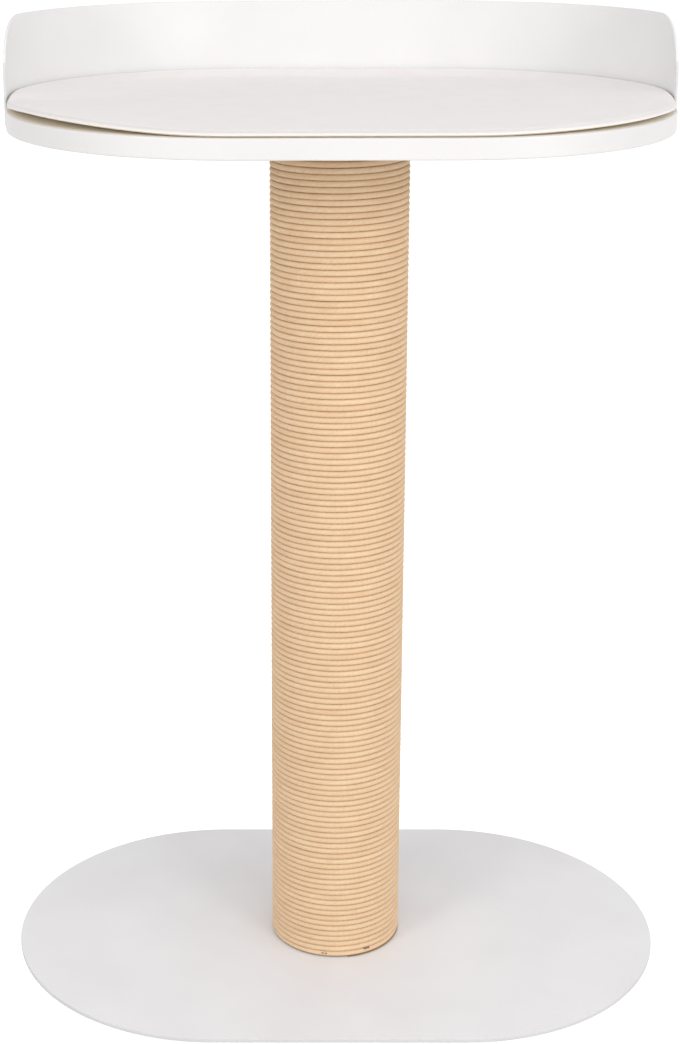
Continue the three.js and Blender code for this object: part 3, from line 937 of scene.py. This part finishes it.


# Twisted kraft paper: matt straw brown. The twist shows as slanting ridges, the pulp as streaks
# along them, and the paper's colour drifts from one stretch of the cord to the next. Painted shade
# darkens it in the grooves, and most of all in the one against the plate.
def paper_cord():
    material, tree = new_material("twisted_paper_cord")
    along = add_node(tree, "ShaderNodeAttribute", attribute_name="along").outputs["Fac"]
    around = add_node(tree, "ShaderNodeAttribute", attribute_name="around").outputs["Fac"]
    twist = add_node(
        tree, "ShaderNodeMath", {0: along, 1: 1 / CORD_LAY, 2: around}, operation="MULTIPLY_ADD"
    )
    ply_angle = add_node(
        tree, "ShaderNodeMath", {0: twist, 1: 2 * math.pi * CORD_PLIES}, operation="MULTIPLY"
    )
    plies = add_node(tree, "ShaderNodeMath", {0: ply_angle}, operation="SINE")
    across_fibres = add_node(
        tree,
        "ShaderNodeMath",
        {0: twist, 1: math.pi * CORD_DIAMETER / FIBRE_WIDTH},
        operation="MULTIPLY",
    )
    along_fibres = add_node(tree, "ShaderNodeMath", {0: along, 1: FIBRE_LENGTH}, operation="DIVIDE")
    fibre_place = add_node(tree, "ShaderNodeCombineXYZ", {"X": across_fibres, "Y": along_fibres})
    fibres = add_node(
        tree, "ShaderNodeTexNoise", {"Vector": fibre_place, "Scale": 1, "Detail": 3}
    ).outputs["Fac"]
    blotches = add_node(
        tree,
        "ShaderNodeTexNoise",
        {"W": along, "Scale": 1 / PAPER_BLOTCH, "Detail": 2},
        noise_dimensions="1D",
    ).outputs["Fac"]
    drift = add_node(
        tree,
        "ShaderNodeTexNoise",
        {"W": along, "Scale": 1 / PAPER_DRIFT, "Detail": 1},
        noise_dimensions="1D",
    ).outputs["Fac"]
    both = add_node(tree, "ShaderNodeMath", {0: blotches, 1: drift}, operation="ADD")
    shade = add_node(tree, "ShaderNodeMapRange", {"Value": both, "From Min": 0.6, "From Max": 1.4})
    paper = add_node(
        tree,
        "ShaderNodeMix",
        {"Factor": shade, "A": linear("#e1c19d"), "B": linear("#ebd0ae")},
        data_type="RGBA",
    )
    streaks = add_node(
        tree,
        "ShaderNodeMapRange",
        {"Value": fibres, "From Min": 0.35, "From Max": 0.7, "To Max": 0.45},
    )
    streaked = add_node(
        tree,
        "ShaderNodeMix",
        {"Factor": streaks, "A": paper, "B": linear("#d1ab83")},
        data_type="RGBA",
    )
    # Painted shade: the grooves between turns are darkened, and the line against the plate most.
    off_crest = add_node(tree, "ShaderNodeMath", {0: around, 1: 0.5}, operation="SUBTRACT")
    groove_place = add_node(tree, "ShaderNodeMath", {0: off_crest}, operation="ABSOLUTE")
    groove_shade = add_node(
        tree,
        "ShaderNodeMapRange",
        {
            "Value": groove_place,
            "From Min": GROOVE_SHADE_FROM,
            "From Max": GROOVE_SHADE_FULL,
            "To Max": GROOVE_SHADE_SHARE,
        },
        interpolation_type="SMOOTHSTEP",
    )
    place = add_node(tree, "ShaderNodeTexCoord").outputs["Object"]
    height = add_node(tree, "ShaderNodeSeparateXYZ", {"Vector": place}).outputs["Z"]
    foot_shade = add_node(
        tree,
        "ShaderNodeMapRange",
        {
            "Value": height,
            "From Min": cord_low.z + FOOT_SHADE_HEIGHT / 2,
            "From Max": cord_low.z + FOOT_SHADE_HEIGHT,
            "To Min": FOOT_SHADE_SHARE,
            "To Max": 0,
        },
    )
    painted_shade = add_node(tree, "ShaderNodeMath", {0: groove_shade, 1: foot_shade}, operation="MAXIMUM")
    # The painted shade's colour is mixed in here.
    colour = add_node(
        tree,
        "ShaderNodeMix",
        {"Factor": painted_shade, "A": streaked, "B": linear("#a08260")},
        data_type="RGBA",
    )
    relief = add_node(
        tree, "ShaderNodeMath", {0: plies, 1: 0.5, 2: fibres}, operation="MULTIPLY_ADD"
    )
    rough = add_node(
        tree, "ShaderNodeBump", {"Height": relief, "Distance": 0.15 * MM, "Strength": 0.8}
    )
    surface = add_node(
        tree,
        "ShaderNodeBsdfPrincipled",
        {"Base Color": colour, "Roughness": 0.82, "Specular IOR Level": 0.3, "Normal": rough},
    )
    add_node(tree, "ShaderNodeOutputMaterial", {"Surface": surface})
    return material


winding = add_piece("paper_cord_winding", bpy.data.meshes.new("paper_cord_winding"))
run_tree(
    winding,
    winding_tree(),
    path_radius=crest_radius - cord_radius,
    path_bottom=path_bottom,
    path_top=path_top,
    pitch=CORD_PITCH,
    start_angle=CORD_START,
    cord_radius=cord_radius,
    bottom=cord_low.z,
    top=cord_high.z,
    path_points=round((path_top - path_bottom) / CORD_PITCH * CORD_STEPS),
    sides=CORD_SIDES,
    material=paper_cord(),
)
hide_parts("cord_winding")
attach(winding, "stand")


# ---- staples ----
# Two fine wire staples shot into the lowest turns, one on each side of the cord's tapered end,
# which keep it from lifting. Their crowns are driven in, so that only their shoulders show.

STAPLE_WIDTH = 3.9 * MM
STAPLE_WIRE = 0.9 * MM
STAPLE_LEG = 4 * MM
STAPLE_BEND = 0.7 * MM
STAPLE_BOW = 0.9 * MM  # of the crown's middle
STAPLE_HEIGHTS = {-101: 3.4 * MM, -61.5: 4.7 * MM}  # above the plate, by degrees from +X
STAPLE_SINK = 0.15 * MM  # of the shoulders below the cord's crest
WIRE_SIDES = 10
WIRE_GRAIN = 0.5 * MM  # across one dull patch


def staple_mesh():
    """A wire with two legs pointing to -Z, its crown at height 0."""
    half = STAPLE_WIDTH / 2
    left = [(-half, -STAPLE_LEG, math.pi / 2)]
    for i in range(EASE_STEPS + 1):
        turn = math.pi / 2 * i / EASE_STEPS
        x = -half + STAPLE_BEND * (1 - math.cos(turn))
        z = -STAPLE_BEND * (1 - math.sin(turn))
        left.append((x, z, math.pi / 2 - turn))
    right = [(-x, z, -slope) for x, z, slope in reversed(left)]
    loops = []
    for x, z, slope in left + [(0, -STAPLE_BOW, 0)] + right:
        loop = []
        for i in range(WIRE_SIDES):
            angle = 2 * math.pi * i / WIRE_SIDES
            across = STAPLE_WIRE / 2 * math.cos(angle)
            up = STAPLE_WIRE / 2 * math.sin(angle)
            loop.append((x - up * math.sin(slope), across, z + up * math.cos(slope)))
        loops.append(loop)
    return skin("staple", loops)


# Annealed steel wire: a dull, dark grey-brown metal.
def dark_wire():
    material, tree = new_material("annealed_steel_wire")
    sheen = mottle(tree, WIRE_GRAIN, 0.4, 0.6)
    surface = add_node(
        tree,
        "ShaderNodeBsdfPrincipled",
        {"Base Color": linear("#82796f"), "Metallic": 1, "Roughness": sheen},
    )
    add_node(tree, "ShaderNodeOutputMaterial", {"Surface": surface})
    return material


staple_places = []
for degrees, staple_height in STAPLE_HEIGHTS.items():
    staple_angle = math.radians(degrees)
    outward = Vector((math.cos(staple_angle), math.sin(staple_angle), 0))
    staple_spot = outward * (crest_radius - STAPLE_SINK)
    staple_spot.z = plate_high.z + staple_height
    staple_places.append(
        Matrix.Translation(staple_spot)
        @ Euler((math.pi / 2, 0, staple_angle + math.pi / 2)).to_matrix().to_4x4()
    )
staples = copies("cord_staples", staple_mesh(), staple_places, dark_wire())
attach(staples, "stand")


# ---- perch board ----
# A 14 mm fibreboard cut to a stadium, its edges eased. It is sprayed with satin white lacquer; its
# top, which the mat hides, is a brighter matt warm white, painted light that lightens the gap under
# the mat's lifted edge.

BOARD_EASE = 1.2 * MM
TOP_SLACK = 0.01 * MM  # how far below the board's top a face still counts as its top
RAIL_THICKNESS = 2 * MM
RAIL_GAP = 0.3 * MM  # between the board's edge and the rail
RAIL_SCREW_COUNT = 7
RAIL_SCREW_END_MARGIN = 30 * MM
RAIL_SCREW_GRIP = 16 * MM  # length inside the board
RAIL_SCREW = Screw(7 * MM, 1.6 * MM, 3.5 * MM, RAIL_THICKNESS + RAIL_GAP + RAIL_SCREW_GRIP)

board_low, board_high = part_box("perch_board")
rail_low, rail_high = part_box("perch_rail")
tray_screw_low, tray_screw_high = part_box("tray_screw_1")
TRAY_SCREW = BASE_SCREW._replace(length=tray_screw_high.z - tray_screw_low.z)
board_length = board_high.x - board_low.x
board_depth = board_high.y - board_low.y
board_middle = (board_low.y + board_high.y) / 2
half_straight = (board_length - board_depth) / 2
rail_radius = board_depth / 2 + RAIL_GAP + RAIL_THICKNESS
half_rail = half_straight + math.pi / 2 * rail_radius


def board_outline(inset):
    """The board's outline, drawn in by an inset."""
    return [(x, board_middle + y) for x, y in stadium(board_length, board_depth, inset)]


def on_back(distance, inward=0.0):
    """A place on the strip round the board's back, and the way out from it. The distance is
    measured along the outer face from the middle of the back, towards +X."""
    side = 1 if distance >= 0 else -1
    turn = max(0.0, abs(distance) - half_straight) / rail_radius
    outward = Vector((side * math.sin(turn), math.cos(turn), 0))
    centre = Vector((side * min(abs(distance), half_straight), board_middle, 0))
    return centre + (rail_radius - inward) * outward, outward


# Satin lacquer on fibreboard: warm white, with the faint long ripple of a sprayed coat.
white_lacquer = mottled(
    "satin_white_lacquer",
    colours=("#dddbda", "#e1dfde"),
    grain=90 * MM,
    roughness=(0.36, 0.44),
    gloss_grain=14 * MM,
    relief=Relief(grain=2.6 * MM, detail=2, height=0.02 * MM, strength=0.5),
)

# Painted light: a brighter matt warm white for the board's hidden top, finely mottled, which
# lightens the shade in the gap under the mat.
painted_light_top = mottled(
    "warm_white_primer", colours=("#f6eee1", "#faf4e9"), grain=0.7 * MM, detail=4, roughness=0.8
)

tray_screw_places = [
    Matrix.Translation((point.x, point.y, board_high.z)) for point in post_screw_points
]
rail_screw_places = []
for i in range(RAIL_SCREW_COUNT):
    screw_share = 2 * i / (RAIL_SCREW_COUNT - 1) - 1
    screw_spot, screw_out = on_back(screw_share * (half_rail - RAIL_SCREW_END_MARGIN))
    screw_spot.z = (board_low.z + board_high.z) / 2
    rail_screw_places.append(
        Matrix.Translation(screw_spot) @ screw_out.to_track_quat("Z", "Y").to_matrix().to_4x4()
    )
tray_screw_hole = screw_hole("tray_screw_hole", TRAY_SCREW)
rail_screw_hole = screw_hole("rail_screw_hole", RAIL_SCREW)
board_loops = [
    [(x, y, height) for x, y in board_outline(inset)]
    for inset, height in ease_profile(board_low.z, board_high.z, BOARD_EASE)
]
board_skin = skin("perch_board_lacquered", board_loops)
board = add_piece("perch_board_lacquered", board_skin, white_lacquer, painted_light_top)
drill(board, tray_screw_hole, tray_screw_places)
drill(board, rail_screw_hole, rail_screw_places)
smooth(board)
# The board's top gets the brighter white: painted light for the gap under the mat.
second_finish(
    board,
    lambda face: face.normal.z > EDGE_TILT and face.center.z > board_high.z - TOP_SLACK,
)
bpy.data.meshes.remove(tray_screw_hole)
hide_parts("perch_board")
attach(board, "stand")


# ---- perch rail ----
# A strip of 2 mm sheet steel with two round upper corners, rolled to the board's back half, powder
# coated white and screwed to its edge. It keeps the animal and the mat from sliding off behind.

RAIL_EASE = 0.8 * MM
RAIL_CORNER = 44 * MM
CORNER_STEPS = 20
BEND_STEPS = 60  # along the quarter round between a corner and the straight back
END_TILT = 0.1  # forward part of the normal above which a face belongs to the strip's end


def rail_loop(inward, inset):
    """The strip's outline at a depth from its outer face, drawn in by the inset."""
    corner_distance = half_rail - RAIL_CORNER
    corner_height = rail_high.z - RAIL_CORNER
    radius = RAIL_CORNER - inset
    upper = []
    for i in range(CORNER_STEPS + 1):
        angle = math.pi / 2 * i / CORNER_STEPS
        upper.append(
            (corner_distance + radius * math.cos(angle), corner_height + radius * math.sin(angle))
        )
    for i in range(1, BEND_STEPS + 1):
        distance = corner_distance + (half_straight - corner_distance) * i / BEND_STEPS
        upper.append((distance, rail_high.z - inset))
    upper += [(-distance, height) for distance, height in reversed(upper)]
    lower = [(distance, rail_low.z + inset) for distance, _ in reversed(upper)]
    loop = []
    for distance, height in upper + lower:
        spot, _ = on_back(distance, inward)
        loop.append((spot.x, spot.y, height))
    return loop


rail_loops = [
    rail_loop(depth, inset) for inset, depth in ease_profile(0, RAIL_THICKNESS, RAIL_EASE)
]
rail = add_piece(
    "perch_rail_coated",
    skin("perch_rail_coated", rail_loops, strip_caps=True),
    powder_coat("white_powder_coated_steel", "#e2e1e1", "#e6e5e5"),
    # The darker copy is painted shade for the strip's two front ends.
    powder_coat("white_coat_on_cut_edge", "#d0cfcf", "#d4d3d3"),
)
drill(rail, rail_screw_hole, rail_screw_places)
smooth(rail)
# The front-facing ends get the darker copy: painted shade.
second_finish(
    rail,
    lambda face: face.normal.y < -END_TILT and face.center.y < board_middle + RAIL_THICKNESS,
)
bpy.data.meshes.remove(rail_screw_hole)
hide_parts("perch_rail")
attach(rail, "stand")


# ---- perch screws ----
# Four socket screws go down through the board into the post's upper plug, under the mat. Seven
# small cross-recessed screws hold the rail to the board's edge from outside.

CROSS_LENGTH = 4 * MM
CROSS_WIDTH = 0.9 * MM
CROSS_DEPTH = 1.2 * MM


def cross_recess():
    """The space of a cross-point driver: two crossed bars."""
    built = bmesh.new()
    for turn in (0, math.pi / 2):
        size = Matrix.Diagonal((CROSS_LENGTH, CROSS_WIDTH, 2 * CROSS_DEPTH, 1))
        bmesh.ops.create_cube(built, size=1, matrix=Matrix.Rotation(turn, 4, "Z") @ size)
    mesh = bpy.data.meshes.new("recess")
    built.to_mesh(mesh)
    built.free()
    return mesh


tray_screw = screw_mesh("tray_screw", TRAY_SCREW, hexagon_recess())
tray_screws = copies("tray_screws", tray_screw, tray_screw_places, zinc)
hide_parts(*[f"tray_screw_{i + 1}" for i in range(POST_SCREW_COUNT)])
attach(tray_screws, "stand")

rail_screw = screw_mesh("rail_screw", RAIL_SCREW, cross_recess())
rail_screws = copies("rail_screws", rail_screw, rail_screw_places, zinc)
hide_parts(*[f"rail_screw_{i + 1}" for i in range(RAIL_SCREW_COUNT)])
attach(rail_screws, "stand")


# ---- seat mat ----
# Needled felt, pale grey-white, on a thin cream backing, die cut to the board's outline and laid on
# it loose. Its front corners have curled up, its back edge has ridden up the rail, and its cut
# edge is pressed round. Towards the front that round is painted darker, as painted shade.

MAT_THICKNESS = 4.5 * MM
MAT_BACKING = 1.2 * MM
MAT_BACKING_INSET = 3.5 * MM  # from the felt's edge
MAT_ROUND = 2.0 * MM  # of the felt's upper edge
MAT_EDGE_INSET = 1.2 * MM  # from the board's edge
MAT_CURL_LEFT = 4.3 * MM
MAT_CURL_RIGHT = 2.0 * MM
MAT_CURL_REACH = 150 * MM  # how far in from the mat's ends the curl starts
MAT_CURL_FULL = 28 * MM  # how far in from them it reaches its height
MAT_CURL_FRONT = 88 * MM  # how far in front of the board's widest line it does
MAT_RISE = 3.7 * MM  # of the back edge up the rail
MAT_RISE_REACH = 30 * MM  # how far in from that edge the rise starts
MAT_RISE_FADE = 25 * MM  # how far past the rail's ends it dies out
MAT_RIPPLE = 0.12 * MM
MAT_RIPPLE_WIDTH = 24 * MM
MAT_SHADE_PEAK = math.radians(30)  # how far up the round edge the painted shade is darkest
MAT_ROUND_STEPS = 5
MAT_RINGS = 26
MAT_RING_CROWDING = 1.3  # how much closer the rings lie near the edge: 1 is not at all
MAT_CENTRE_WIDTH = 8 * MM  # of the flat face that closes the mat's middle
FELT_FIBRE = 0.9 * MM  # the real fibres are finer, and wouldn't show
FELT_CLOUD = 18 * MM
CLOUD_SHARE = 0.55  # of the clouds in the felt's mottle, beside the fibres
LATEX_CELL = 0.8 * MM  # across one cell of the foamed backing

mat_low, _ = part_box("seat_mat")
mat_radius = board_depth / 2 - MAT_EDGE_INSET


def smooth_step(value, start, stop):
    """0 up to the start, 1 from the stop on, and an even S between them."""
    share = min(1, max(0, (value - start) / (stop - start)))
    return share * share * (3 - 2 * share)


def mat_lift(x, y):
    """How far the mat has lifted off the board."""
    backwards = y - board_middle
    curl = MAT_CURL_LEFT if x < 0 else MAT_CURL_RIGHT
    end = board_length / 2
    at_end = smooth_step(abs(x), end - MAT_CURL_REACH, end - MAT_CURL_FULL)
    in_front = smooth_step(-backwards, 0, MAT_CURL_FRONT)
    from_middle = math.hypot(max(0, abs(x) - half_straight), backwards)
    at_edge = smooth_step(from_middle, mat_radius - MAT_RISE_REACH, mat_radius)
    at_back = smooth_step(backwards, -MAT_RISE_FADE, MAT_RISE_FADE)
    return curl * at_end * in_front + MAT_RISE * at_edge * at_back


def mat_loop(inset, height):
    """The mat's outline drawn in by an inset, at a height above its underside where it lies."""
    loop = []
    for x, y in board_outline(MAT_EDGE_INSET + inset):
        rise = mat_lift(x, y)
        if height > MAT_BACKING:
            rise += MAT_RIPPLE * noise.noise(Vector((x, y, height)) / MAT_RIPPLE_WIDTH)
        loop.append((x, y, mat_low.z + height + rise))
    return loop


# Needled felt: matt off-white wool with short tangled fibres, a soft fuzz at grazing angles and
# slight clouds in its thickness. The round of its front edge is painted a little darker: painted
# shade.
def felt():
    material, tree = new_material("needled_felt")
    fibres = mottle(tree, FELT_FIBRE, detail=6)
    clouds = mottle(tree, FELT_CLOUD, detail=3)
    share = add_node(tree, "ShaderNodeMix", {"Factor": CLOUD_SHARE, "A": fibres, "B": clouds})
    wool = add_node(
        tree,
        "ShaderNodeMix",
        {"Factor": share, "A": linear("#eee9e7"), "B": linear("#f2eeed")},
        data_type="RGBA",
    )
    pressed = add_node(tree, "ShaderNodeAttribute", attribute_name="pressed").outputs["Fac"]
    # Painted shade: the front edge's round is darkened towards this colour.
    colour = add_node(
        tree,
        "ShaderNodeMix",
        {"Factor": pressed, "A": wool, "B": linear("#d0cdcb")},
        data_type="RGBA",
    )
    relief = add_node(
        tree, "ShaderNodeBump", {"Height": fibres, "Distance": 0.18 * MM, "Strength": 0.6}
    )
    surface = add_node(
        tree,
        "ShaderNodeBsdfPrincipled",
        {
            "Base Color": colour,
            "Roughness": 0.95,
            "Specular IOR Level": 0.2,
            "Sheen Weight": 0.15,
            "Normal": relief,
        },
    )
    add_node(tree, "ShaderNodeOutputMaterial", {"Surface": surface})
    return material


# The backing: a thin coat of cream foamed latex that stops the mat from sliding.
latex_backing = mottled(
    "cream_latex_backing",
    colours=("#efe2c8", "#f5ead3"),
    grain=LATEX_CELL,
    detail=4,
    roughness=0.85,
    relief=Relief(grain=LATEX_CELL, detail=4, height=0.15 * MM, strength=0.6),
)

middle_inset = mat_radius - MAT_CENTRE_WIDTH / 2
ring_insets = [
    middle_inset * (i / MAT_RINGS) ** MAT_RING_CROWDING for i in range(1, MAT_RINGS + 1)
]
mat_loops = [mat_loop(i, 0) for i in reversed(ring_insets) if i > MAT_BACKING_INSET]
mat_loops.append(mat_loop(MAT_BACKING_INSET, 0))
mat_loops.append(mat_loop(MAT_BACKING_INSET, MAT_BACKING))
backing_strips = len(mat_loops) - 1
mat_loops.append(mat_loop(0, MAT_BACKING))
# Painted shade along the round edge, darkest part way up it, and only towards the front.
edge_shade_weights = [0.0] * len(mat_loops)
for i in range(MAT_ROUND_STEPS + 1):
    round_angle = math.pi / 2 * i / MAT_ROUND_STEPS
    shade_turn = (math.pi / 2 - round_angle) / (math.pi / 2 - MAT_SHADE_PEAK)
    edge_shade_weights.append(math.sin(math.pi / 2 * shade_turn) ** 2)
    round_inset = MAT_ROUND * (1 - math.cos(round_angle))
    round_drop = MAT_ROUND * (1 - math.sin(round_angle))
    mat_loops.append(mat_loop(round_inset, MAT_THICKNESS - round_drop))
mat_loops += [mat_loop(inset, MAT_THICKNESS) for inset in ring_insets if inset > MAT_ROUND]
edge_shade_weights += [0.0] * (len(mat_loops) - len(edge_shade_weights))
mat_skin = skin("felt_seat_mat", mat_loops)
loop_size = len(mat_loops[0])
front_shares = [max(0.0, (board_middle - y) / mat_radius) for _, y in board_outline(0)]
edge_shade_values = [share * front for share in edge_shade_weights for front in front_shares]
mat_skin.attributes.new("pressed", "FLOAT", "POINT").data.foreach_set("value", edge_shade_values)
mat = add_piece("felt_seat_mat", mat_skin, felt(), latex_backing)
underside = (len(mat_loops) - 1) * loop_size  # the face that closes the first loop
second_finish(
    mat,
    lambda face: face.index < backing_strips * loop_size or face.index == underside,
)
smooth(mat)
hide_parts("seat_mat")
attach(mat, "mat")
